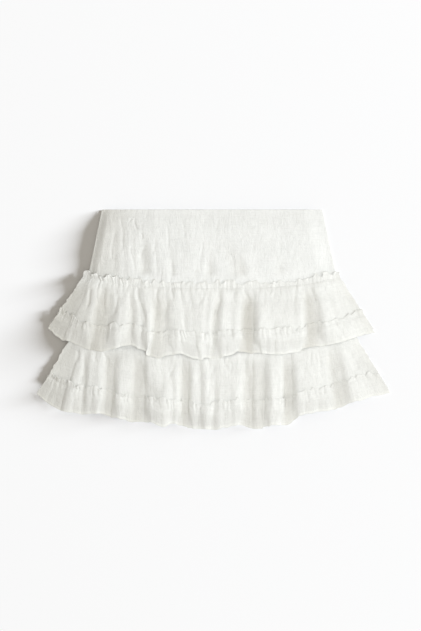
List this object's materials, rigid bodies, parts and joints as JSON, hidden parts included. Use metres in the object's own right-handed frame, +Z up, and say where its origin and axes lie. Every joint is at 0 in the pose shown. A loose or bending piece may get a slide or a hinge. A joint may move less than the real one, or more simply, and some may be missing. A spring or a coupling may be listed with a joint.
{
  "type": "tiered ruffle skirt",
  "caption": "Mini skirt laid flat: smooth flared yoke over gathered ruffle tiers, each with a frilled heading and a narrow flounce, in white crinkled cotton.",
  "frame": {"origin": "on the surface that the skirt lies on, under the middle of the skirt", "axes": "+X to the right of the front, +Y from the hem towards the waist, +Z up off the surface"},
  "size_m": [0.5767, 0.3608, 0.0286],
  "materials": {
    "yoke_cotton": "smooth white crinkled cotton, matt",
    "tier_cotton": "gathered white crinkled cotton, matt",
    "flounce_cotton": "gathered white crinkled cotton with a narrow stitched hem, matt",
    "underskirt_cotton": "plain white cotton, matt"
  },
  "bodies": {
    "root": {"yoke_front": "yoke_cotton", "yoke_back": "yoke_cotton", "underskirt_front": "underskirt_cotton", "underskirt_back": "underskirt_cotton", "tier_1_front": "tier_cotton", "tier_1_back": "tier_cotton", "tier_1_flounce_front": "flounce_cotton", "tier_1_flounce_back": "flounce_cotton", "tier_2_front": "tier_cotton", "tier_2_back": "tier_cotton", "tier_2_flounce_front": "flounce_cotton", "tier_2_flounce_back": "flounce_cotton"}
  },
  "joints": []
}
